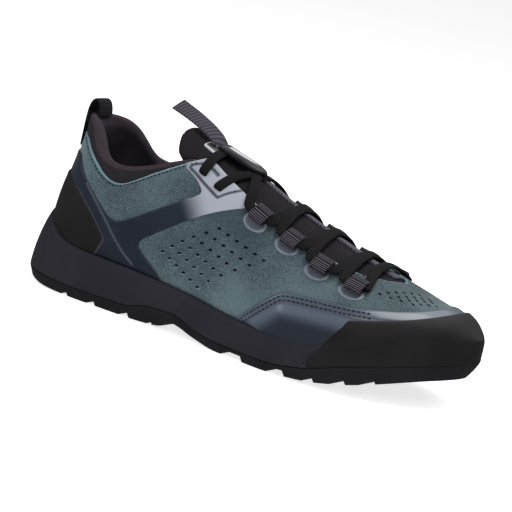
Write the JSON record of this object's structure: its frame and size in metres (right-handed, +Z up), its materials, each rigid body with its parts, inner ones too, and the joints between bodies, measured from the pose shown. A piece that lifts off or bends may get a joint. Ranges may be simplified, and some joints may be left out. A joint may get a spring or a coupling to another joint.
{
  "type": "approach shoe, right foot",
  "caption": "low approach shoe for the right foot with a suede upper, film frame, mesh collar and tongue, flat lace in webbing loops, foam midsole and lugged rubber outsole with a toe rand",
  "frame": {"origin": "centre of the bounding box on the ground plane", "axes": "+X from heel to toe, +Y to the inner (big toe) side, +Z up"},
  "size_m": [0.293, 0.1042, 0.1258],
  "materials": {
    "suede": "teal grey suede nap",
    "foam": "smooth moulded foam",
    "sole_rubber": "matte moulded rubber",
    "insole_cloth": "woven cloth",
    "rand_rubber": "matte smooth rubber",
    "film": "satin navy film",
    "gloss_film": "glossy navy film",
    "collar_mesh": "spacer mesh",
    "tongue_mesh": "spacer mesh",
    "lace_weave": "flat woven lace",
    "badge_gloss": "glossy moulded keeper",
    "tab_twill": "grey twill tape",
    "webbing": "ribbed webbing"
  },
  "bodies": {
    "root": {"upper": "suede", "midsole": "foam", "outsole": "sole_rubber", "insole": "insole_cloth", "toe_rand": "rand_rubber", "heel_counter": "rand_rubber", "frame_lateral": "film", "frame_medial": "film", "forefoot_overlay_lateral": "gloss_film", "forefoot_overlay_medial": "gloss_film", "collar": "collar_mesh", "tongue": "tongue_mesh", "lace": "lace_weave", "lace_top": "lace_weave", "tongue_badge": "badge_gloss", "tongue_tab": "tab_twill", "heel_loop": "webbing", "lace_loop_lateral_1": "webbing", "lace_loop_lateral_2": "webbing", "lace_loop_lateral_3": "webbing", "lace_loop_lateral_4": "webbing", "lace_loop_medial_1": "webbing", "lace_loop_medial_2": "webbing", "lace_loop_medial_3": "webbing", "lace_loop_medial_4": "webbing"}
  },
  "joints": []
}
